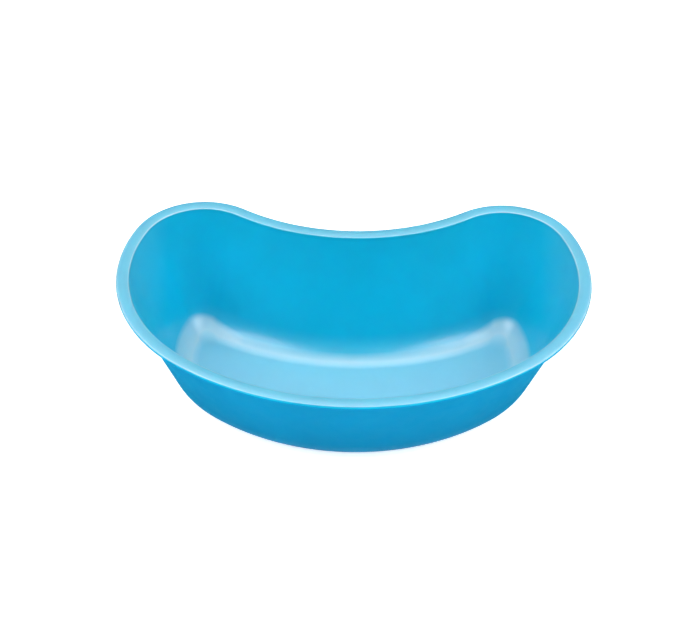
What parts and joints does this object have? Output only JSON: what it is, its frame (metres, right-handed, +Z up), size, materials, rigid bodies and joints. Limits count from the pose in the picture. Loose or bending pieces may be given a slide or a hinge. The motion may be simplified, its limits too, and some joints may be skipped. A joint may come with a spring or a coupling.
{
  "type": "kidney dish",
  "caption": "Deep kidney-shaped hospital basin moulded in blue plastic, with flared walls, a flat floor and a narrow out-turned rim.",
  "frame": {"origin": "centre of the rim's length and depth, on the plane the dish stands on", "axes": "+X along the dish's length, +Y towards the hollow back (the convex front faces -Y), +Z up out of the basin"},
  "size_m": [0.2, 0.1288, 0.0536],
  "materials": {
    "polypropylene": "satin sky-blue polypropylene, slightly translucent"
  },
  "bodies": {
    "root": {"dish": "polypropylene"}
  },
  "joints": []
}
